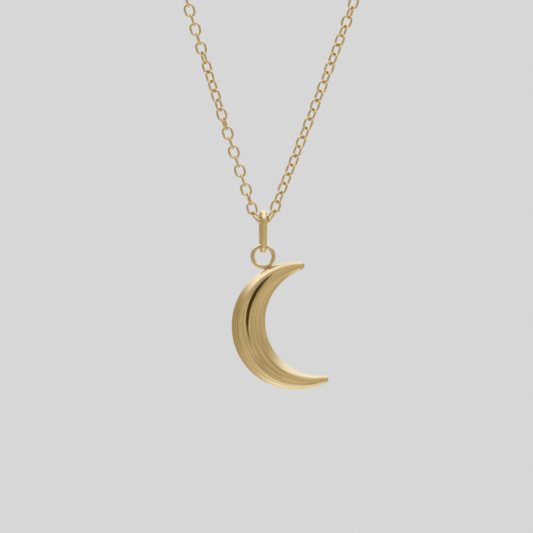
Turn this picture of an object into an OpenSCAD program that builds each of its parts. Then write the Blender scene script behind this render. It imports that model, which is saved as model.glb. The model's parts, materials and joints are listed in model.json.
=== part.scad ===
// Pendant necklace: a puffed crescent moon on a soldered ring and a bail, worn on a fine cable chain
// that closes at the nape with a bolt ring. Millimetres, +Z up, the wearer faces -Y.
// The origin is the middle of the neck opening, level with the shoulders.

/* [Chain links] */
// Diameter of the link wire
wire_d = 0.30; // [0.28:0.01:0.32]
// Outside width of a link
link_w = 1.56; // [1.52:0.01:1.60]
// Distance between the middles of two neighbouring links
pitch = 1.385; // [1.375:0.005:1.40]
// Play between two wires that hook each other
play = 0.03; // [0.03:0.005:0.04]

/* [Hang of the chain] */
// Height of the shoulders above the centre link
drop = 143; // [140:1:146]
// Sideways lean of the left strand at its foot, as a tangent
lean_left = 0.333; // [0.32:0.001:0.345]
// Sideways lean of the right strand at its foot, as a tangent
lean_right = 0.404; // [0.39:0.001:0.415]
// Length of chain that weighs as much as the load on one strand
load_length = 260; // [240:5:300]
// Depth from the front strands to the nape
neck_depth = 50; // [48:1:52]
// Height of the nape above the shoulders
nape_rise = 18; // [16:1:20]
// Slope of the back of the neck at the clasp, in degrees
nape_slope = 20; // [10:1:30]

/* [Bail] */
// Radius of the bail's inside at the top
bail_top_r = 1.00; // [0.95:0.01:1.05]
// Radius of the bail's inside at the bottom
bail_foot_r = 0.45; // [0.42:0.01:0.50]
// Thickness of the bail's wall
bail_t = 0.75; // [0.65:0.01:0.80]
// Width of the bail at the top
bail_top_w = 0.94; // [0.92:0.01:0.95]
// Width of the bail at the bottom
bail_foot_w = 0.84; // [0.80:0.01:0.88]
// Depth of the bail's inside foot below the centre link
bail_foot_z = 3.97; // [3.95:0.01:4.05]
// Turn of the bail about the vertical, in degrees
bail_yaw = 7; // [5:1:7]
// Distance that the bail hangs to the left of the centre link's middle
bail_off = 0.21; // [0.20:0.01:0.22]
// Forward tilt of the centre link that the bail hangs on, in degrees
centre_tilt = 40; // [36:1:44]
// Slope of the centre link up to the right, in degrees
centre_slope = 8; // [6:1:9]

/* [Pendant] */
// Diameter of the pendant ring's wire
ring_wire_d = 0.56; // [0.52:0.01:0.58]
// Outside diameter of the pendant ring
ring_d = 3.50; // [3.45:0.01:3.55]
// Radius of the crescent's outer edge
moon_r = 9.0; // [8.9:0.05:9.1]
// Radius of the crescent's inner edge
hollow_r = 7.59; // [7.55:0.01:7.65]
// Distance between the centres of the two edges
moon_shift = 3.35; // [3.30:0.01:3.40]
// Upward tilt of the line between the two centres, in degrees
moon_tilt = 10.8; // [10:0.1:12]
// Direction from the ring's centre to the crescent's centre, in degrees below level
ring_bearing = 64.7; // [64:0.1:65.5]
// Half angle of the opening, measured to the upper horn's tip
upper_horn = 71; // [70:0.5:72]
// Half angle of the opening, measured to the lower horn's tip
lower_horn = 69; // [68:0.5:71]
// Wall of the two pressed shells
shell_t = 0.35; // [0.30:0.01:0.40]
// Half depth of the crescent for each millimetre of its width
puff = 0.31; // [0.29:0.01:0.33]
// Half depth that is added along the whole crescent
puff_min = 0.10; // [0.08:0.01:0.12]

/* [Bolt ring] */
// Radius of the bolt ring's middle line
clasp_r = 2.30; // [2.28:0.01:2.32]
// Outside radius of the tube
tube_r = 0.60; // [0.58:0.01:0.60]
// Wall of the tube
tube_t = 0.15; // [0.14:0.01:0.16]
// Running clearance round the bolt
bolt_gap = 0.05; // [0.04:0.01:0.06]
// Travel of the bolt, in degrees
bolt_travel = 57; // [55:1:57]

/* [Hidden] */
$fn = 48;
LEFT = 0;
RIGHT = 1;
gold = [0.86, 0.72, 0.44];

// ---- Link sizes ----
hook = (wire_d + play) / 2;
end_c = pitch / 2 + hook;
bend_r = (link_w - wire_d) / 2;
leg_l = 2 * (end_c - bend_r);

// ---- Clasp sizes, along the line of the chain at the nape ----
tag_wire_r = 0.30;
tag_r = 1.70;
tag_x = clasp_r - tube_r - play - tag_wire_r + tag_r;
eye_r = 0.50;
eye_wire_r = 0.20;
eye_sunk = 0.35;
eye_x = -(clasp_r + tube_r + eye_r + eye_wire_r - eye_sunk);
jump_wire_r = 0.20;
jump_r = 0.90;
jump_x = eye_x - (eye_r - eye_wire_r) + jump_wire_r + play - jump_r;
chain_ends = [
  jump_x - jump_r + jump_wire_r + play + wire_d / 2 - hook,
  tag_x + tag_r - tag_wire_r - play - wire_d / 2 + hook
];

// ---- Route of each strand: foot, hanging front, shoulder and nape ----
function sign_of(side) = side == LEFT ? -1 : 1;
function lean(side) = side == LEFT ? lean_left : lean_right;
function unit(v) = v / norm(v);

// The first two links lean out from the centre link before the strand takes over: their angles
// from the vertical on each side.
foot_angles = [[42, 14], [34, 18]];
// Extra slack where they hook the centre link at an angle.
foot_slack = 0.025;
centre_dir = [cos(centre_slope), 0, sin(centre_slope)];
function reach(bend) = hook / cos(bend / 2);
function foot_dir(side, n) =
  let (a = foot_angles[side][n]) [sign_of(side) * sin(a), 0, cos(a)];
function first_reach(side) =
  foot_slack + reach(90 - foot_angles[side][0] - sign_of(side) * centre_slope);
function second_reach(side) = reach(foot_angles[side][0] - foot_angles[side][1]);
function foot_0(side) = sign_of(side) * (end_c - first_reach(side)) * centre_dir;
function foot_1(side) =
  foot_0(side) + (2 * end_c - first_reach(side) - second_reach(side)) * foot_dir(side, 0);
function foot_2(side) =
  foot_1(side) + (2 * end_c - second_reach(side) - hook) * foot_dir(side, 1);

function spread(side, u) = lean(side) * load_length * ln(1 + u / load_length);
function strand_rise(side) = drop - foot_2(side).z;
function half_span(side) = abs(foot_2(side).x) + spread(side, strand_rise(side));
shoulder_x = (half_span(LEFT) + half_span(RIGHT)) / 2;
bail_x = half_span(LEFT) - shoulder_x;
front_y = -neck_depth / 2;
centre_link = [bail_x, front_y, -drop];

function front(side, u) =
  centre_link + foot_2(side) + [sign_of(side) * spread(side, u), 0, u];
function front_dir(side, u) =
  unit([sign_of(side) * lean(side) / (1 + u / load_length), 0, 1]);
// The nape is drawn as a curve with a handle at each end. Its parameter runs on by nape_span.
nape_span = 90;
nape_handle = 24;
nape_links = 55;
function nape(side, t, handle) =
  let (
    a = front(side, strand_rise(side)),
    b = a + handle * front_dir(side, strand_rise(side)),
    d = [chain_ends[side], neck_depth / 2, nape_rise],
    c = d + [sign_of(side) * nape_handle, 0, 0],
    s = 1 - t
  ) s * s * s * a + 3 * s * s * t * b + 3 * s * t * t * c + t * t * t * d;
function route(side, u, handle) =
  u <= strand_rise(side)
    ? front(side, u)
    : nape(side, (u - strand_rise(side)) / nape_span, handle);

// Steps along the route so that every junction is one pitch from the last.
function step(side, u, guess, handle, tries) =
  tries == 0
    ? guess
    : let (gone = norm(route(side, guess, handle) - route(side, u, handle)))
      step(side, u, u + (guess - u) * pitch / gone, handle, tries - 1);
step_tries = 5;
function next(side, u, handle) = step(side, u, u + pitch, handle, step_tries);
function front_steps(side) =
  [for (u = 0; u <= strand_rise(side); u = next(side, u, nape_handle)) u];
left_front = front_steps(LEFT);
right_front = front_steps(RIGHT);
function front_of(side) = side == LEFT ? left_front : right_front;
function nape_steps(side, handle) =
  let (from = front_of(side)[len(front_of(side)) - 1])
  [for (i = 0, u = from; i <= nape_links; u = next(side, u, handle), i = i + 1) u];

// The shoulder's handle is found by halving, so that the last link ends at the clasp.
function overrun(side, handle) =
  nape_steps(side, handle)[nape_links] - strand_rise(side) - nape_span;
function solve(side, low, high, tries) =
  let (mid = (low + high) / 2)
  tries == 0
    ? mid
    : overrun(side, mid) > 0
      ? solve(side, mid, high, tries - 1)
      : solve(side, low, mid, tries - 1);
handle_range = [6, 50];
halvings = 16;
left_handle = solve(LEFT, handle_range[0], handle_range[1], halvings);
right_handle = solve(RIGHT, handle_range[0], handle_range[1], halvings);
function handle_of(side) = side == LEFT ? left_handle : right_handle;
function make_joints(side) =
  let (h = handle_of(side), back = nape_steps(side, h))
  concat(
    [centre_link + foot_0(side), centre_link + foot_1(side)],
    [for (u = front_of(side)) route(side, u, h)],
    [for (i = [1:nape_links]) route(side, back[i], h)]
  );
left_joints = make_joints(LEFT);
right_joints = make_joints(RIGHT);
function joints(side) = side == LEFT ? left_joints : right_joints;
function links_of(side) = len(joints(side)) - 1;
function link_dir(side, i) = unit(joints(side)[i + 1] - joints(side)[i]);
function link_mid(side, i) = (joints(side)[i + 1] + joints(side)[i]) / 2;

// A reference that is carried along the strand without twisting.
function carry(v, d) = unit(v - (v * d) * d);
function make_refs(side) =
  [for (i = 0, v = [0, -1, 0];
        i < links_of(side);
        i = i + 1, v = i < links_of(side) ? carry(v, link_dir(side, i)) : v) v];
left_refs = make_refs(LEFT);
right_refs = make_refs(RIGHT);
function ref(side, i) = side == LEFT ? left_refs[i] : right_refs[i];

// Twist of the strand by height above the centre link.
left_twist = [[0, 115], [3, 97], [5, 90], [12, 88], [15, 63], [18, 49], [21, 40], [24, 6], [27, 0]];
right_twist = [[0, 74], [5, 46], [11, 38], [21, 36], [24, 44], [27.5, 70], [31, 62], [36, 90]];
function front_twist(side, h) = lookup(h, side == LEFT ? left_twist : right_twist);
function top_twist(side) = side == LEFT ? 0 : 90;
clasp_normal = [0, cos(nape_slope), sin(nape_slope)];
function wrap(a) = a - 180 * round(a / 180);
function end_twist(side) =
  let (
    i = links_of(side) - 1,
    d = link_dir(side, i),
    r = ref(side, i),
    aim = atan2(cross(r, clasp_normal) * d, r * clasp_normal)
  ) wrap(aim - 90 * i - top_twist(side));
left_end_twist = end_twist(LEFT);
right_end_twist = end_twist(RIGHT);
function first_back(side) = links_of(side) - nape_links;
function twist(side, i) =
  i < first_back(side)
    ? front_twist(side, link_mid(side, i).z + drop)
    : top_twist(side) + (side == LEFT ? left_end_twist : right_end_twist)
      * (i - first_back(side)) / (nape_links - 1);
function face(side, i) =
  let (a = 90 * i + twist(side, i), d = link_dir(side, i), r = ref(side, i))
  r * cos(a) + cross(d, r) * sin(a);

// ---- Nodes of each strand ----
// The stretches between the levels where the front strands bend: the first link on each side, and
// the number of nodes that each stretch is cut into, from the foot up.
stretch_from = [[0, 0], [21, 21], [61, 61], [99, 101]];
stretch_nodes = [2, 4, 4, 4];
stretches = len(stretch_nodes);
function stretch_to(side, s) = s + 1 < stretches ? stretch_from[s + 1][side] : links_of(side);
function cuts_of(side) = [
  for (s = [0:stretches - 1])
    let (from = stretch_from[s][side], to = stretch_to(side, s))
      for (n = [0:stretch_nodes[s] - 1])
        from + floor((to - from) * n / stretch_nodes[s])
];
cuts = [cuts_of(LEFT), cuts_of(RIGHT)];
parts_n = len(cuts[LEFT]);
function cut_end(side, n) = n + 1 < parts_n ? cuts[side][n + 1] : links_of(side);
left_names = [for (n = [0:parts_n - 1]) str("chain_left_", n + 1)];
right_names = [for (n = [0:parts_n - 1]) str("chain_right_", n + 1)];

// ---- Places of the bail, ring and crescent ----
// The bail's top arc rests on both legs of the tilted centre link, which cross it at a slant.
slant_play = 0.02;
centre_normal = [
  -cos(centre_tilt) * sin(centre_slope), -sin(centre_tilt), cos(centre_tilt) * cos(centre_slope)
];
link_rest = bail_top_r - wire_d / 2 - play - slant_play;
bail_pivot = centre_link - bail_off * centre_dir
  - sqrt(link_rest * link_rest - bend_r * bend_r) * centre_normal;
bail_span = bail_pivot.z - centre_link.z + bail_foot_z - bail_foot_r;
ring_r = (ring_d - ring_wire_d) / 2;
ring_hole_r = ring_r - ring_wire_d / 2;
ring_centre = [bail_pivot.x, bail_pivot.y, centre_link.z - bail_foot_z + play - ring_hole_r];
solder_gap = 0.01;
moon_centre = ring_centre
  + (moon_r + ring_d / 2 + solder_gap) * [cos(ring_bearing), 0, -sin(ring_bearing)];
solder_point = ring_centre + ring_d / 2 * [cos(ring_bearing), 0, -sin(ring_bearing)];

// Draws its children with +Z along dir and +Y along normal.
module aim(at, dir, normal) {
  side = cross(normal, dir);
  multmatrix([
    [side.x, normal.x, dir.x, at.x],
    [side.y, normal.y, dir.y, at.y],
    [side.z, normal.z, dir.z, at.z]
  ]) children();
}

// A ring of round wire lying in the XZ plane.
module wire_ring(r, wire_r) {
  rotate([90, 0, 0])
    rotate_extrude()
      translate([r, 0])
        circle(wire_r, $fn = 32);
}

// ---- Chain ----
module link_end() {
  translate([0, 0, leg_l / 2])
    rotate([90, 0, 0])
      rotate_extrude(angle = 180)
        translate([bend_r, 0])
          circle(d = wire_d, $fn = 24);
}

module link() {
  link_end();
  mirror([0, 0, 1])
    link_end();
  for (x = [-bend_r, bend_r])
    translate([x, 0, 0])
      cylinder(d = wire_d, h = leg_l, center = true, $fn = 24);
}

module strand(side, n) {
  color(gold)
    for (i = [cuts[side][n]:cut_end(side, n) - 1])
      aim(link_mid(side, i), link_dir(side, i), face(side, i))
        link();
}

module centre_link() {
  color(gold)
    aim(centre_link, centre_dir, centre_normal)
      link();
}

// ---- Bail ----
// The inside line of the bail, seen along X: an arc at the top, an arc at the foot and straight legs.
// Each entry is the point and the outward direction there.
function bail_arc(r, drop_z, from, to, n) =
  [for (i = [0:n]) let (b = from + (to - from) * i / n) [[r * cos(b), r * sin(b) - drop_z], b]];
bail_slope = asin((bail_top_r - bail_foot_r) / bail_span);
top_steps = 24;
foot_steps = 16;
leg_steps = 6;
function bail_leg(b) =
  let (top = bail_top_r * [cos(b), sin(b)], foot = bail_foot_r * [cos(b), sin(b)] - [0, bail_span])
  [for (i = [1:leg_steps - 1]) [top + (foot - top) * i / leg_steps, b]];
function turned(list) = [for (i = [len(list) - 1:-1:0]) list[i]];
bail_line = concat(
  bail_arc(bail_top_r, 0, -bail_slope, 180 + bail_slope, top_steps),
  bail_leg(180 + bail_slope),
  bail_arc(bail_foot_r, bail_span, 180 + bail_slope, 360 - bail_slope, foot_steps),
  turned(bail_leg(-bail_slope))
);

// The wall's section: domed outside and gently crowned inside. x is across, y is outward.
bail_section_n = 14;
bail_crown = 0.25;
bail_squareness = 0.75;
function bail_section(w, k) =
  let (b = 360 * k / bail_section_n, c = cos(b), s = sin(b))
  [w / 2 * sign(c) * pow(abs(c), bail_squareness),
   bail_t * (s > 0 ? bail_crown + (1 - bail_crown) * s : bail_crown * (1 + s))];
function bail_w(z) =
  let (low = -bail_span - bail_foot_r - bail_t, high = bail_top_r + bail_t)
  bail_foot_w + (bail_top_w - bail_foot_w) * (z - low) / (high - low);
function bail_point(i, k) =
  let (
    p = bail_line[i][0],
    b = bail_line[i][1],
    q = bail_section(bail_w(p.y), k)
  ) [q.x, p.x + q.y * cos(b), p.y + q.y * sin(b)];

module bail() {
  n = len(bail_line);
  m = bail_section_n;
  points = [for (i = [0:n - 1], k = [0:m - 1]) bail_point(i, k)];
  walls = [for (i = [0:n - 1], k = [0:m - 1])
    let (j = (i + 1) % n, l = (k + 1) % m)
      for (t = [0, 1])
        t == 0
          ? [i * m + k, j * m + l, i * m + l]
          : [i * m + k, j * m + k, j * m + l]];
  color(gold)
    translate(bail_pivot)
      rotate(bail_yaw)
        polyhedron(points, walls);
}

// ---- Pendant ----
module pendant_ring() {
  color(gold)
    translate(ring_centre)
      wire_ring(ring_r, ring_wire_d / 2);
}

// Beads of solder on both sides of the point where the ring meets the crescent's edge.
module ring_solder() {
  bead_r = 0.20;
  bead_out = 0.36;
  color(gold)
    translate(solder_point)
      rotate([0, ring_bearing, 0])
        for (z = [-bead_out, bead_out])
          translate([0, 0, z])
            sphere(bead_r, $fn = 24);
}

stations = 72;
section_n = 12;
tip_angle = 4;
tip_min = 0.12;
seam_gap = 0.005;
core_min = 0.03;
function moon_angle(i) = upper_horn + (360 - upper_horn - lower_horn) * i / stations;
function hollow_at(a) =
  moon_shift * cos(a) + sqrt(pow(hollow_r, 2) - pow(moon_shift * sin(a), 2));
// Rounds the two horns: 1 along the crescent, falling to almost 0 at each tip.
function tip(a) =
  let (gone = min(a - upper_horn, 360 - lower_horn - a) / tip_angle)
  gone >= 1 ? 1 : max(tip_min, sqrt(1 - pow(1 - gone, 2)));
function section(a, side) =
  let (
    inner = hollow_at(a),
    mid = (moon_r + inner) / 2,
    half_w = (moon_r - inner) / 2 * tip(a),
    half_d = (puff * (moon_r - inner) + puff_min) * tip(a),
    core_w = max(half_w - shell_t, core_min * half_w),
    core_d = max(half_d - shell_t, core_min * half_w)
  ) concat(
    [for (k = [0:section_n]) let (b = 180 * k / section_n)
      [mid - half_w * cos(b), side * (half_d * sin(b) + seam_gap)]],
    [for (k = [section_n:-1:0]) let (b = 180 * k / section_n)
      [mid - core_w * cos(b), side * (core_d * sin(b) + seam_gap)]]
  );
function moon_point(a, p) = [p.x * cos(a + moon_tilt), p.y, p.x * sin(a + moon_tilt)];
// The angles crowd together towards the tips, where the horns are rounded.
function crowd(i) = (1 - cos(180 * i / stations)) / 2 * stations;

module crescent_shell(side) {
  ring_n = 2 * (section_n + 1);
  points = [for (i = [0:stations]) let (a = moon_angle(crowd(i)))
    for (p = section(a, side)) moon_point(a, p)];
  walls = [for (i = [0:stations - 1], k = [0:ring_n - 1]) let (m = (k + 1) % ring_n)
    for (t = [0, 1])
      t == 0
        ? [i * ring_n + k, i * ring_n + m, (i + 1) * ring_n + m]
        : [i * ring_n + k, (i + 1) * ring_n + m, (i + 1) * ring_n + k]];
  // Each end is closed by quads across the wall of its C-shaped section.
  caps = [for (i = [0, stations], k = [0:section_n - 1])
    let (
      q = [i * ring_n + k, i * ring_n + ring_n - 1 - k,
           i * ring_n + ring_n - 2 - k, i * ring_n + k + 1]
    ) i == 0 ? q : [q[3], q[2], q[1], q[0]]];
  faces = concat(walls, caps);
  flip = side < 0;
  color(gold)
    translate(moon_centre)
      polyhedron(points, [for (f = faces) flip ? [for (j = [len(f) - 1:-1:0]) f[j]] : f]);
}

module crescent_front_shell() {
  crescent_shell(-1);
}

module crescent_back_shell() {
  crescent_shell(1);
}

// ---- Clasp: drawn in its own plane, then laid on the slope of the nape ----
bore_r = tube_r - tube_t;
bolt_r = bore_r - bolt_gap;
gap_from = 35;
gap_to = 85;
bolt_lap = 7;
bolt_from = gap_from - bolt_lap;
bolt_to = 150;
stop_from = 300;
stop_to = 304;
trigger_at = 97;
trigger_r = 0.22;
trigger_l = 1.15;
knob_r = 0.34;
slot_play = 0.04;
spring_play = 2;
open_end = 1;

module at_nape() {
  translate([0, neck_depth / 2, nape_rise])
    rotate([nape_slope - 90, 0, 0])
      children();
}

module arc_rod(r, from, to) {
  rotate(from)
    rotate_extrude(angle = to - from)
      translate([clasp_r, 0])
        circle(r, $fn = 32);
}

module bolt_ring_body() {
  slot_a = asin((trigger_r + slot_play) / (clasp_r + tube_r));
  color(gold)
    at_nape()
      difference() {
        union() {
          arc_rod(tube_r, gap_to, gap_from + 360);
          translate([eye_x, 0, 0])
            rotate([90, 0, 0])
              wire_ring(eye_r, eye_wire_r);
        }
        arc_rod(bore_r, gap_to - open_end, stop_from);
        arc_rod(bore_r, stop_to, gap_from + 360 + open_end);
        rotate(trigger_at - slot_a)
          rotate_extrude(angle = bolt_travel + 2 * slot_a)
            translate([clasp_r, -trigger_r - slot_play])
              square([2 * tube_r, 2 * (trigger_r + slot_play)]);
      }
}

module clasp_bolt() {
  color(gold)
    at_nape() {
      arc_rod(bolt_r, bolt_from, bolt_to);
      rotate(trigger_at)
        translate([clasp_r, 0, 0])
          rotate([0, 90, 0])
            cylinder(r = trigger_r, h = trigger_l, $fn = 24);
      rotate(trigger_at)
        translate([clasp_r + trigger_l, 0, 0])
          sphere(knob_r, $fn = 24);
    }
}

// A coil spring along the tube, between the bolt's end and the stop.
module clasp_spring() {
  coil_r = 0.30;
  coil_wire_r = 0.06;
  turns = 11;
  per_turn = 10;
  sides = 5;
  n = turns * per_turn;
  from = bolt_to + spring_play;
  to = stop_from - spring_play;
  function coil_point(i, k) =
    let (
      along = from + (to - from) * i / n,
      round_coil = 360 * i / per_turn,
      round_wire = 360 * k / sides,
      r = coil_r + coil_wire_r * cos(round_wire),
      out = clasp_r + r * cos(round_coil),
      shift = atan2(coil_wire_r * sin(round_wire), clasp_r)
    ) [out * cos(along + shift), out * sin(along + shift), r * sin(round_coil)];
  points = [for (i = [0:n], k = [0:sides - 1]) coil_point(i, k)];
  walls = [for (i = [0:n - 1], k = [0:sides - 1]) let (m = (k + 1) % sides)
    for (t = [0, 1])
      t == 0
        ? [i * sides + k, (i + 1) * sides + m, i * sides + m]
        : [i * sides + k, (i + 1) * sides + k, (i + 1) * sides + m]];
  ends = [[for (k = [0:sides - 1]) k], [for (k = [sides - 1:-1:0]) n * sides + k]];
  color("silver")
    at_nape()
      polyhedron(points, concat(walls, ends));
}

module clasp_jump_ring() {
  color(gold)
    at_nape()
      translate([jump_x, 0, 0])
        wire_ring(jump_r, jump_wire_r);
}

module chain_end_ring() {
  color(gold)
    at_nape()
      translate([tag_x, 0, 0])
        wire_ring(tag_r, tag_wire_r);
}

crescent_front_shell();
crescent_back_shell();
ring_solder();
pendant_ring();
bail();
centre_link();
for (n = [0:parts_n - 1]) {
  strand(LEFT, n);
  strand(RIGHT, n);
}
clasp_jump_ring();
bolt_ring_body();
clasp_bolt();
clasp_spring();
chain_end_ring();
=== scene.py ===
"""Looks of the pendant necklace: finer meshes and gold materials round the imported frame, in metres."""
import json
import math

import bpy
import numpy as np
from mathutils import Matrix, Vector


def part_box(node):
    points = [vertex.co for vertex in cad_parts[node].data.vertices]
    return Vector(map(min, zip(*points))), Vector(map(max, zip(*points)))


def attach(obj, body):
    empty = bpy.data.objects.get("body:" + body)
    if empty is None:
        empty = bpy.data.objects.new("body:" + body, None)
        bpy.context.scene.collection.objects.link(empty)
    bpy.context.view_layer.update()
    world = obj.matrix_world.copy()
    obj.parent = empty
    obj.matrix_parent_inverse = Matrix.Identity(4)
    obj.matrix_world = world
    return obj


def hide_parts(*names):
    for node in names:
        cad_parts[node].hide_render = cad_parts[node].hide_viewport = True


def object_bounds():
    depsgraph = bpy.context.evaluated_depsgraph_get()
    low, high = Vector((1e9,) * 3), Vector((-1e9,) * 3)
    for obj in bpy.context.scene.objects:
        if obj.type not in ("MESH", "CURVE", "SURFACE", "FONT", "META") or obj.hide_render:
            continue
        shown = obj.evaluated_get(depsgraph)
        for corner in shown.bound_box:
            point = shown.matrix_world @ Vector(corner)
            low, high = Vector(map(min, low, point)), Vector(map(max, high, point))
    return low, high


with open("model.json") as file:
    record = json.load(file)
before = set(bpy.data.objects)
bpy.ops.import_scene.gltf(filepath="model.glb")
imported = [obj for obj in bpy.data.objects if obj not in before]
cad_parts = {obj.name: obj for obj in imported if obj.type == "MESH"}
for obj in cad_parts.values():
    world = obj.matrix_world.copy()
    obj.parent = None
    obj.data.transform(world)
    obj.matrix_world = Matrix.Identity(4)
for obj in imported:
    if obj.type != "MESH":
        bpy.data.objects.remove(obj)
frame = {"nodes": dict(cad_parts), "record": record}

cad_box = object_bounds()
MM = 0.001
BODY_OF = {
    node: body
    for body, nodes in frame["record"]["behaviour"]["bodies"].items()
    for node in nodes
}
SLOT_OF = {s["node"]: s["material_slot"] for s in frame["record"]["subparts"]}
CHAIN_NODES = sorted(n for n in frame["nodes"] if n.startswith(("chain_left", "chain_right")))
KEPT_NODES = ("bolt_ring_body", "clasp_bolt", "clasp_spring")


# ---- Camera, stage and lights ----
VIEW_WIDTH = 74.6 * MM
CAMERA_DISTANCE = 0.8
SENSOR = 36.0
CLIP_NEAR = 0.01
CLIP_FAR = 100.0
VIEW_RIGHT = 0.48 * MM
VIEW_DOWN = 1.42 * MM


def middle(node):
    """The middle of a CAD node's box."""
    low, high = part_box(node)
    return (low + high) / 2


BAIL_MID = middle("bail")
RING_MID = middle("pendant_ring")
LINK_MID = middle("centre_link")
VIEW_CENTRE = Vector((RING_MID.x + VIEW_RIGHT, LINK_MID.y, RING_MID.z - VIEW_DOWN))


def make_camera():
    """A level camera in front of the pendant. It takes in VIEW_WIDTH at the pendant's depth."""
    data = bpy.data.cameras.new("camera")
    data.sensor_width = SENSOR
    data.lens = SENSOR * CAMERA_DISTANCE / VIEW_WIDTH
    data.clip_start = CLIP_NEAR
    data.clip_end = CLIP_FAR
    camera = bpy.data.objects.new("camera", data)
    camera.location = VIEW_CENTRE - Vector((0, CAMERA_DISTANCE, 0))
    camera.rotation_euler = (math.radians(90), 0, 0)
    bpy.context.scene.collection.objects.link(camera)
    bpy.context.scene.camera = camera


def node_graph(tree):
    """Empties a node tree and returns a function that adds a node with its values and links."""
    tree.nodes.clear()

    def add(kind, values=None, **settings):
        node = tree.nodes.new(kind)
        for key, value in settings.items():
            setattr(node, key, value)
        for key, value in (values or {}).items():
            socket = node.inputs[key]
            if isinstance(value, bpy.types.NodeSocket):
                tree.links.new(value, socket)
            else:
                socket.default_value = value
        return node

    return add


FLOOR_DROP = 0.75
FLOOR_RADIUS = 9.0
FLOOR_SIDES = 96
FLOOR_GREY = (0.66, 0.70)
FLOOR_ROUGHNESS = 0.9


def make_floor():
    """A plain pale disc well below the necklace."""
    z = cad_box[0].z - FLOOR_DROP
    points = [
        (FLOOR_RADIUS * math.cos(a), FLOOR_RADIUS * math.sin(a), z)
        for a in (2 * math.pi * k / FLOOR_SIDES for k in range(FLOOR_SIDES))
    ]
    mesh = bpy.data.meshes.new("floor")
    mesh.from_pydata(points, [], [list(range(FLOOR_SIDES))])
    floor = bpy.data.objects.new("floor", mesh)
    bpy.context.scene.collection.objects.link(floor)
    material = bpy.data.materials.new("floor")
    material.use_nodes = True
    add = node_graph(material.node_tree)
    noise = add("ShaderNodeTexNoise", {"Scale": 3.0, "Detail": 3.0})
    dark, pale = FLOOR_GREY
    tint = add("ShaderNodeMapRange", {"Value": noise.outputs["Fac"], "To Min": dark, "To Max": pale})
    grey = tint.outputs[0]
    shade = add("ShaderNodeCombineColor", {"Red": grey, "Green": grey, "Blue": grey})
    surface = add("ShaderNodeBsdfPrincipled", {"Base Color": shade.outputs[0], "Roughness": FLOOR_ROUGHNESS})
    add("ShaderNodeOutputMaterial", {"Surface": surface.outputs[0]})
    mesh.materials.append(material)
    floor.visible_glossy = False


BACKDROP_GREY = 0.680
# The studio tent round the necklace: an even wall with soft panels. A place on the tent is given by the
# surface that mirrors it: its tilt, how far it turns from the camera (0 facing it, 1 edge on), and its
# bearing in degrees (0 right, 90 up). Each panel is its bearing, half width, tilt where it starts, and level.
WALL_LEVEL = 0.50
PANELS = {
    "top_panel": (90, 50, 0.25, 1.00),
    "bottom_panel": (-90, 30, 0.25, 0.85),
    "left_wall": (180, 30, 0.25, 0.40),
}
PANEL_EDGE = 15
PANEL_RISE = 0.30
# The dark camera, as the tilt of its middle and its half sizes. Its soft edge lies between two shares
# of those sizes.
CAMERA_SPOT = ((-0.05, 0.10), (0.08, 0.12))
CAMERA_EDGE = (0.72, 1.22)
DARK_LEVEL = 0.06
# The folds in the tent: how close they are and how deep, the stretch of the noise that they use, and the
# tilts between which they fade out.
LINE_COUNT = 15.0
LINE_DEPTH = 0.26
FOLD_STRETCH = (0.40, 0.60)
FOLD_FADE = (0.60, 0.95)
SMALLEST_SPREAD = 0.0001
GREEN_SHARE = (0.70, 0.30)
BLUE_SHARE = (0.15, 0.85)


def tent_tone(level):
    """The colour of a level: white where the tent is bright, warm where it is dim."""
    green, blue = (base + gain * level for base, gain in (GREEN_SHARE, BLUE_SHARE))
    return (level, level * green, level * blue, 1.0)


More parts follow.
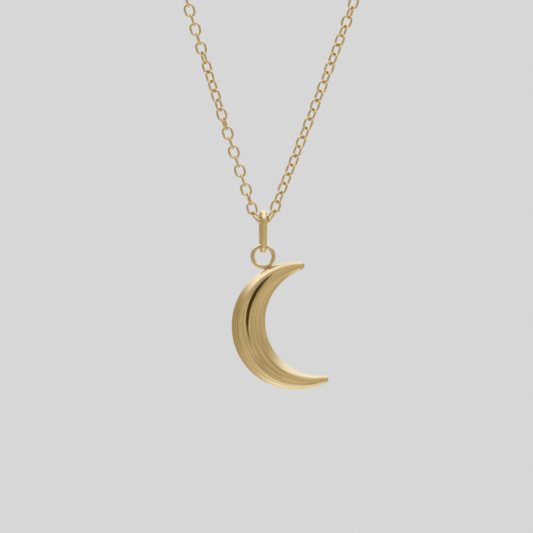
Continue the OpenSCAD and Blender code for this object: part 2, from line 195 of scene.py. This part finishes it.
def make_world():
    """A pale backdrop for the camera, and a studio tent for what the metal mirrors."""
    world = bpy.data.worlds.new("studio")
    bpy.context.scene.world = world
    world.use_nodes = True
    add = node_graph(world.node_tree)

    def maths(operation, a, b=0.0):
        return add("ShaderNodeMath", {0: a, 1: b}, operation=operation).outputs[0]

    def smooth(value, low, high):
        values = {"Value": value, "From Min": low, "From Max": high}
        return add("ShaderNodeMapRange", values, interpolation_type="SMOOTHSTEP").outputs[0]

    def mixed(factor, a, b, blend="MIX"):
        return add("ShaderNodeMix", {0: factor, 6: a, 7: b}, data_type="RGBA", blend_type=blend).outputs[2]

    # From the direction of a mirrored ray to the tilt and bearing of the surface that mirrors it.
    where = add("ShaderNodeTexCoord")
    split = add("ShaderNodeSeparateXYZ", {"Vector": where.outputs["Generated"]})
    doubled = maths("MULTIPLY", maths("SUBTRACT", 1.0, split.outputs["Y"]), 2.0)
    spread = maths("SQRT", maths("MAXIMUM", doubled, SMALLEST_SPREAD))
    tilt_x = maths("DIVIDE", split.outputs["X"], spread)
    tilt_z = maths("DIVIDE", split.outputs["Z"], spread)
    tilt = maths("SQRT", maths("MULTIPLY", maths("ADD", split.outputs["Y"], 1.0), 0.5))
    bearing = maths("ARCTAN2", tilt_z, tilt_x)

    wall = tent_tone(WALL_LEVEL)
    for at, half, start, level in PANELS.values():
        apart = maths("ARCCOSINE", maths("COSINE", maths("SUBTRACT", bearing, math.radians(at))))
        inside = smooth(apart, math.radians(half + PANEL_EDGE), math.radians(half - PANEL_EDGE))
        shown = maths("MULTIPLY", inside, smooth(tilt, start, start + PANEL_RISE))
        wall = mixed(shown, wall, tent_tone(level))

    # Folds of the tent run round the camera, so they show as fine lines along the crescent.
    along_x = maths("MULTIPLY", tilt, LINE_COUNT)
    turn_y, turn_z = maths("COSINE", bearing), maths("SINE", bearing)
    round_camera = add("ShaderNodeCombineXYZ", {"X": along_x, "Y": turn_y, "Z": turn_z})
    folds = add(
        "ShaderNodeTexNoise",
        {"Vector": round_camera.outputs[0], "Scale": 1.0, "Detail": 4.0, "Roughness": 0.62},
    )
    fold = add(
        "ShaderNodeMapRange",
        {
            "Value": folds.outputs["Fac"],
            "From Min": FOLD_STRETCH[0],
            "From Max": FOLD_STRETCH[1],
            "To Min": 1 - LINE_DEPTH,
            "To Max": 1 + LINE_DEPTH,
        },
    ).outputs[0]
    lines = mixed(smooth(tilt, *FOLD_FADE), fold, (1, 1, 1, 1))
    wall = mixed(1.0, wall, lines, blend="MULTIPLY")

    (at_x, at_z), (half_x, half_z) = CAMERA_SPOT
    off_x = maths("DIVIDE", maths("SUBTRACT", tilt_x, at_x), half_x)
    off_z = maths("DIVIDE", maths("SUBTRACT", tilt_z, at_z), half_z)
    off = maths("SQRT", maths("ADD", maths("MULTIPLY", off_x, off_x), maths("MULTIPLY", off_z, off_z)))
    wall = mixed(smooth(off, *CAMERA_EDGE), tent_tone(DARK_LEVEL), wall)

    room = add("ShaderNodeBackground", {"Color": wall, "Strength": 1.0})
    grey = (BACKDROP_GREY, BACKDROP_GREY, BACKDROP_GREY, 1)
    plain = add("ShaderNodeBackground", {"Color": grey, "Strength": 1.0})
    path = add("ShaderNodeLightPath")
    direct = path.outputs["Is Camera Ray"]
    seen = add("ShaderNodeMixShader", {0: direct, 1: room.outputs[0], 2: plain.outputs[0]})
    add("ShaderNodeOutputWorld", {"Surface": seen.outputs[0]})
    bpy.context.scene.view_settings.view_transform = "Standard"


def softbox(name, bearing, height, distance, size, watts):
    """A rectangular lamp aimed at the pendant. bearing 0 is at the camera and 90 at its right."""
    data = bpy.data.lights.new(name, "AREA")
    data.shape = "RECTANGLE"
    data.size, data.size_y = size
    data.energy = watts
    lamp = bpy.data.objects.new(name, data)
    a, e = math.radians(bearing), math.radians(height)
    out = Vector((math.sin(a) * math.cos(e), -math.cos(a) * math.cos(e), math.sin(e)))
    lamp.location = VIEW_CENTRE + out * distance
    lamp.rotation_mode = "QUATERNION"
    lamp.rotation_quaternion = out.to_track_quat("Z", "Y")
    lamp.visible_camera = False
    lamp.visible_glossy = False
    bpy.context.scene.collection.objects.link(lamp)


def make_lights():
    """Two soft lamps that light the floor. They don't show in the metal, which mirrors the tent."""
    softbox("key_left", bearing=-55, height=45, distance=1.2, size=(0.9, 0.9), watts=6)
    softbox("fill_right", bearing=65, height=25, distance=1.2, size=(0.6, 0.9), watts=3)


# ---- Materials ----
# Painted shade in the crevices: how far the occlusion test reaches, the occlusion values between which the
# painted shade fades out, and the dark brown that is painted in.
CREVICE = 0.30 * MM
CREVICE_OPEN = (0.25, 0.80)
CREVICE_SHADE_BROWN = (0.30, 0.15, 0.05, 1)
CLOUD_SCALE = 420.0
SMEAR_SCALE = 900.0
SMEAR_SPREAD = (0.7, 1.4)


def metal(name, colour, deep, roughness, scratch, grain):
    """A metal finish with faint clouds, smears and scratches, and painted dark brown shade in its crevices.

    deep is the colour in the clouds, scratch the scale of the scratches and grain their depth in metres.
    """
    material = bpy.data.materials.new(name)
    material.use_nodes = True
    add = node_graph(material.node_tree)
    where = add("ShaderNodeTexCoord").outputs["Object"]
    cloud = add("ShaderNodeTexNoise", {"Vector": where, "Scale": CLOUD_SCALE, "Detail": 3.0})
    tone = add("ShaderNodeMix", {0: cloud.outputs["Fac"], 6: (*colour, 1), 7: (*deep, 1)}, data_type="RGBA")
    # Painted shade: the colour turns dark brown in the crevices where pieces touch.
    open_air = add("ShaderNodeAmbientOcclusion", {"Distance": CREVICE}, samples=8)
    shut, clear = CREVICE_OPEN
    unshaded = add("ShaderNodeMapRange", {"Value": open_air.outputs["AO"], "From Min": shut, "From Max": clear})
    tone = add("ShaderNodeMix", {0: unshaded.outputs[0], 6: CREVICE_SHADE_BROWN, 7: tone.outputs[2]}, data_type="RGBA")
    smear = add("ShaderNodeTexNoise", {"Vector": where, "Scale": SMEAR_SCALE, "Detail": 4.0})
    least, most = (roughness * share for share in SMEAR_SPREAD)
    rough = add("ShaderNodeMapRange", {"Value": smear.outputs["Fac"], "To Min": least, "To Max": most})
    fine = add("ShaderNodeTexNoise", {"Vector": where, "Scale": scratch, "Detail": 5.0, "Roughness": 0.6})
    bump = add("ShaderNodeBump", {"Height": fine.outputs["Fac"], "Distance": grain, "Strength": 1.0})
    surface = add(
        "ShaderNodeBsdfPrincipled",
        {
            "Base Color": tone.outputs[2],
            "Metallic": 1.0,
            "Roughness": rough.outputs[0],
            "Normal": bump.outputs["Normal"],
        },
    )
    add("ShaderNodeOutputMaterial", {"Surface": surface.outputs[0]})
    return material


# Each finish: colour, colour in the clouds, roughness, scale of the scratches, depth of the scratches.
FINISHES = {
    "polished_gold": ((0.93, 0.79, 0.53), (0.89, 0.74, 0.47), 0.03, 600.0, 0.006 * MM),
    "chain_gold": ((0.95, 0.82, 0.56), (0.86, 0.70, 0.42), 0.06, 2600.0, 0.003 * MM),
    "satin_gold": ((0.97, 0.85, 0.60), (0.93, 0.79, 0.52), 0.22, 5200.0, 0.0012 * MM),
    "solder": ((0.97, 0.85, 0.60), (0.80, 0.58, 0.30), 0.14, 3800.0, 0.020 * MM),
    "spring_steel": ((0.56, 0.56, 0.54), (0.48, 0.47, 0.44), 0.28, 3000.0, 0.004 * MM),
}
MATERIAL_OF = {slot: metal(slot, *finish) for slot, finish in FINISHES.items()}


# ---- Mesh helpers ----
def piece(name, points, faces, node):
    """A smooth mesh that stands for a CAD node, rides on its body and takes its finish."""
    mesh = bpy.data.meshes.new(name)
    mesh.from_pydata([tuple(p) for p in points], [], faces)
    mesh.validate()
    mesh.shade_smooth()
    obj = bpy.data.objects.new(name, mesh)
    bpy.context.scene.collection.objects.link(obj)
    mesh.materials.append(MATERIAL_OF[SLOT_OF[node]])
    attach(obj, BODY_OF[node])
    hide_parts(node)
    return obj


def loop_faces(rings, sides, closed=True):
    """Quads between neighbouring rings of points. A closed loop joins its last ring to its first."""
    faces = []
    for i in range(rings if closed else rings - 1):
        j = (i + 1) % rings
        for k in range(sides):
            m = (k + 1) % sides
            faces.append((i * sides + k, j * sides + k, j * sides + m, i * sides + m))
    return faces


# ---- Chain links ----
WIRE_D = 0.30 * MM
LINK_W = 1.56 * MM
LINK_L = 2.015 * MM
LINK_ARC_STEPS = 16
LINK_LEG_STEPS = 6
LINK_SIDES = 12
SEAM_SWELL = 0.10
SEAM_LENGTH = 0.09 * MM
WELD = 0.001 * MM
# The seam is on the leg that lies beyond this share of the bend.
SEAM_SIDE = -0.9


def link_template():
    """Points and faces of one oval link: long way Z, loop in XZ. One leg has a small soldered seam."""
    bend = (LINK_W - WIRE_D) / 2
    leg = LINK_L - LINK_W
    line = []
    for end in (1, -1):
        for i in range(LINK_ARC_STEPS + 1):
            a = math.pi * i / LINK_ARC_STEPS
            out_x, out_z = end * math.cos(a), end * math.sin(a)
            line.append((bend * out_x, end * leg / 2 + bend * out_z, out_x, out_z))
        for i in range(1, LINK_LEG_STEPS):
            z = end * leg * (0.5 - i / LINK_LEG_STEPS)
            line.append((-end * bend, z, -end, 0.0))
    points = []
    for x, z, out_x, out_z in line:
        swell = SEAM_SWELL * math.exp(-((z / SEAM_LENGTH) ** 2)) if x < SEAM_SIDE * bend else 0.0
        r = WIRE_D / 2 * (1 + swell)
        for k in range(LINK_SIDES):
            b = 2 * math.pi * k / LINK_SIDES
            points.append((x + r * math.cos(b) * out_x, r * math.sin(b), z + r * math.cos(b) * out_z))
    return np.array(points), loop_faces(len(line), LINK_SIDES)


def loose_parts(node):
    """The vertices of each separate solid of a CAD node."""
    mesh = frame["nodes"][node].data
    points = np.empty(3 * len(mesh.vertices))
    mesh.vertices.foreach_get("co", points)
    edges = np.empty(2 * len(mesh.edges), dtype=np.int64)
    mesh.edges.foreach_get("vertices", edges)
    welded = np.round(points.reshape(-1, 3) / WELD).astype(np.int64)
    keys, index = np.unique(welded, axis=0, return_inverse=True)
    a, b = index.ravel()[edges.reshape(-1, 2)].T
    group = np.arange(len(keys))
    while True:
        lowest = np.minimum(group[a], group[b])
        fresh = group.copy()
        np.minimum.at(fresh, a, lowest)
        np.minimum.at(fresh, b, lowest)
        fresh = fresh[fresh]
        if np.array_equal(fresh, group):
            break
        group = fresh
    return [keys[group == g] * WELD for g in np.unique(group)]


def link_frame(points):
    """Middle and axes of a link: columns are its width, its face normal and its length."""
    middle_point = points.mean(axis=0)
    axes = np.linalg.svd(points - middle_point, full_matrices=False)[2]
    long_way, width, normal = axes
    along = (points - middle_point) @ axes.T
    middle_point = middle_point + ((along.max(axis=0) + along.min(axis=0)) / 2) @ axes
    if np.dot(np.cross(width, normal), long_way) < 0:
        normal = -normal
    return middle_point, np.column_stack([width, normal, long_way])


def make_chain():
    """Every link of the chain, each laid where its CAD solid lies."""
    template, faces = link_template()
    for node in CHAIN_NODES + ["centre_link"]:
        points, all_faces = [], []
        for part in loose_parts(node):
            centre, axes = link_frame(part)
            start = len(points) * len(template)
            points.append(template @ axes.T + centre)
            all_faces += [tuple(start + v for v in f) for f in faces]
        piece(node + "_wire", np.vstack(points), all_faces, node)


# ---- Rings of round wire ----
RING_WIRE_D = 0.56 * MM
JUMP_WIRE_D = 0.40 * MM
END_WIRE_D = 0.60 * MM
NAPE_SLOPE = math.radians(20)
CLASP_RING_AXIS = (0, math.sin(NAPE_SLOPE), -math.cos(NAPE_SLOPE))


def wire_ring(name, node, normal, wire_d, rings=96, sides=20):
    """A torus through the middle of a CAD ring's box. normal is the direction of its axis."""
    points = np.array([v.co for v in frame["nodes"][node].data.vertices])
    normal = np.array(normal)
    normal = normal / np.linalg.norm(normal)
    across = np.cross(normal, [1.0, 0.0, 0.0])
    across = across / np.linalg.norm(across)
    other = np.cross(across, normal)
    low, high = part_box(node)
    centre = np.array((low + high) / 2)
    radius = np.abs((points - centre) @ other).max() - wire_d / 2
    mesh_points = []
    for i in range(rings):
        a = 2 * math.pi * i / rings
        out = math.cos(a) * other + math.sin(a) * across
        for k in range(sides):
            b = 2 * math.pi * k / sides
            sideways = (radius + wire_d / 2 * math.cos(b)) * out
            mesh_points.append(centre + sideways + wire_d / 2 * math.sin(b) * normal)
    return piece(name, mesh_points, loop_faces(rings, sides), node)


# ---- Bail ----
BAIL_TOP_R = 1.00 * MM
BAIL_FOOT_R = 0.45 * MM
BAIL_T = 0.75 * MM
BAIL_TOP_W = 0.94 * MM
BAIL_FOOT_W = 0.84 * MM
BAIL_YAW = math.radians(7)
BAIL_SIDES = 32
BAIL_CROWN = 0.25
BAIL_BOW = 0.15 * MM
BAIL_SQUARENESS = 0.75
BAIL_TOP_STEPS = 48
BAIL_FOOT_STEPS = 36
BAIL_LEG_STEPS = 24


def signed_power(value, power):
    """The power of a value's size, with the value's own sign."""
    return math.copysign(abs(value) ** power, value)


def make_bail():
    """A closed band with a domed outside. It narrows to its foot and is turned about the vertical."""
    low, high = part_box("bail")
    top = high.z - BAIL_T - BAIL_TOP_R
    foot = low.z + BAIL_T + BAIL_FOOT_R
    span = top - foot
    slope = math.asin((BAIL_TOP_R - BAIL_FOOT_R) / span)
    line = []
    arcs = [
        (BAIL_TOP_R, top, -slope, math.pi + slope, BAIL_TOP_STEPS),
        (BAIL_FOOT_R, foot, math.pi + slope, 2 * math.pi - slope, BAIL_FOOT_STEPS),
    ]
    for n, (r, z, start, stop, steps) in enumerate(arcs):
        line += [(r * math.cos(b), z + r * math.sin(b), b, 0.0) for b in np.linspace(start, stop, steps)]
        r2, z2 = arcs[1 - n][0], arcs[1 - n][1]
        here = np.array([r * math.cos(stop), z + r * math.sin(stop)])
        there = np.array([r2 * math.cos(stop), z2 + r2 * math.sin(stop)])
        for i in range(1, BAIL_LEG_STEPS):
            along = i / BAIL_LEG_STEPS
            line.append((*(here + (there - here) * along), stop, BAIL_BOW * math.sin(math.pi * along)))
    points = []
    turn = Matrix.Rotation(BAIL_YAW, 3, "Z")
    for y, z, b, bow in line:
        width = BAIL_FOOT_W + (BAIL_TOP_W - BAIL_FOOT_W) * (z - low.z) / (high.z - low.z)
        for k in range(BAIL_SIDES):
            a = 2 * math.pi * k / BAIL_SIDES
            across = width / 2 * signed_power(math.cos(a), BAIL_SQUARENESS)
            s = math.sin(a)
            if s > 0:
                out = BAIL_T * BAIL_CROWN + (BAIL_T * (1 - BAIL_CROWN) + bow) * s
            else:
                out = BAIL_T * BAIL_CROWN * (1 + s)
            place = turn @ Vector((across, y + out * math.cos(b), 0))
            points.append((BAIL_MID.x + place.x, BAIL_MID.y + place.y, z + out * math.sin(b)))
    faces = [f[::-1] for f in loop_faces(len(line), BAIL_SIDES)]
    piece("bail_band", points, faces, "bail")


# ---- Crescent ----
MOON_R = 9.0 * MM
HOLLOW_R = 7.59 * MM
MOON_SHIFT = 3.35 * MM
MOON_TILT = math.radians(10.8)
RING_BEARING = math.radians(64.7)
UPPER_HORN = math.radians(71)
LOWER_HORN = math.radians(69)
SHELL_T = 0.35 * MM
PUFF = 0.31
PUFF_MIN = 0.10 * MM
TIP_ANGLE = math.radians(4)
TIP_LEAST = 0.05
CORE_LEAST = 0.03
SEAM_GAP = 0.005 * MM
SOLDER_GAP = 0.01 * MM
RING_D = 3.50 * MM
MOON_STATIONS = 260
MOON_SIDES = 44
BEAD_R = 0.20 * MM
BEAD_OUT = 0.36 * MM
BEAD_SIDES = 24
BEAD_WAVE = 0.12
OUT = Vector((math.cos(RING_BEARING), 0, -math.sin(RING_BEARING)))
MOON_CENTRE = RING_MID + OUT * (MOON_R + RING_D / 2 + SOLDER_GAP)
SOLDER_POINT = RING_MID + OUT * (RING_D / 2)


def moon_section(a, side):
    """The C-shaped section of one shell at an angle, as (distance from the moon's centre, depth)."""
    inner = MOON_SHIFT * math.cos(a) + math.sqrt(HOLLOW_R**2 - (MOON_SHIFT * math.sin(a)) ** 2)
    gone = min(a - UPPER_HORN, 2 * math.pi - LOWER_HORN - a) / TIP_ANGLE
    tip = 1.0 if gone >= 1 else max(TIP_LEAST, math.sqrt(max(0.0, 1 - (1 - gone) ** 2)))
    mid = (MOON_R + inner) / 2
    half_w = (MOON_R - inner) / 2 * tip
    half_d = (PUFF * (MOON_R - inner) + PUFF_MIN) * tip
    core_w = max(half_w - SHELL_T, CORE_LEAST * half_w)
    core_d = max(half_d - SHELL_T, CORE_LEAST * half_w)
    turns = np.linspace(0, math.pi, MOON_SIDES + 1)
    outer = [(mid - half_w * math.cos(b), side * (half_d * math.sin(b) + SEAM_GAP)) for b in turns]
    core = [(mid - core_w * math.cos(b), side * (core_d * math.sin(b) + SEAM_GAP)) for b in turns[::-1]]
    return outer + core


def make_shell(name, node, side):
    """The front shell (side -1) or the back shell (side 1), with a closed face at each horn."""
    points = []
    for i in range(MOON_STATIONS + 1):
        crowd = (1 - math.cos(math.pi * i / MOON_STATIONS)) / 2
        a = UPPER_HORN + (2 * math.pi - UPPER_HORN - LOWER_HORN) * crowd
        for r, depth in moon_section(a, side):
            turn = a + MOON_TILT
            points.append(MOON_CENTRE + Vector((r * math.cos(turn), depth, r * math.sin(turn))))
    ring_n = 2 * (MOON_SIDES + 1)
    faces = loop_faces(MOON_STATIONS + 1, ring_n, closed=False)
    for i in (0, MOON_STATIONS):
        for k in range(MOON_SIDES):
            near, far = i * ring_n + k, (i + 1) * ring_n - 1 - k
            quad = [near, near + 1, far - 1, far]
            faces.append(tuple(quad if i == 0 else quad[::-1]))
    if side > 0:
        faces = [f[::-1] for f in faces]
    piece(name, points, faces, node)


def make_solder():
    """Two small uneven beads that fill the corners where the ring meets the crescent's edge."""
    along = Vector((math.sin(RING_BEARING), 0, math.cos(RING_BEARING)))
    points, faces = [], []
    for way in (-1, 1):
        start = len(points)
        centre = SOLDER_POINT + along * way * BEAD_OUT
        for i in range(1, BEAD_SIDES):
            a = math.pi * i / BEAD_SIDES
            for k in range(BEAD_SIDES):
                b = 2 * math.pi * k / BEAD_SIDES
                r = BEAD_R * (1 + BEAD_WAVE * math.sin(3 * b + way) * math.sin(a))
                out = Vector((math.cos(b) * math.sin(a), math.sin(b) * math.sin(a), math.cos(a)))
                points.append(centre + out * r)
        faces += [tuple(start + v for v in f) for f in loop_faces(BEAD_SIDES - 1, BEAD_SIDES, closed=False)]
        last = len(points) - BEAD_SIDES
        faces.append(tuple(range(start, start + BEAD_SIDES)))
        faces.append(tuple(range(len(points) - 1, last - 1, -1)))
    piece("solder_beads", points, faces, "ring_solder")


make_camera()
make_floor()
make_world()
make_lights()
make_chain()
make_bail()
make_shell("moon_front", "crescent_front_shell", -1)
make_shell("moon_back", "crescent_back_shell", 1)
make_solder()
wire_ring("moon_ring", "pendant_ring", (0, 1, 0), RING_WIRE_D)
wire_ring("jump_ring_wire", "clasp_jump_ring", CLASP_RING_AXIS, JUMP_WIRE_D)
wire_ring("end_ring_wire", "chain_end_ring", CLASP_RING_AXIS, END_WIRE_D)
for node in KEPT_NODES:
    finish = frame["nodes"][node].data.materials
    finish.clear()
    finish.append(MATERIAL_OF[SLOT_OF[node]])
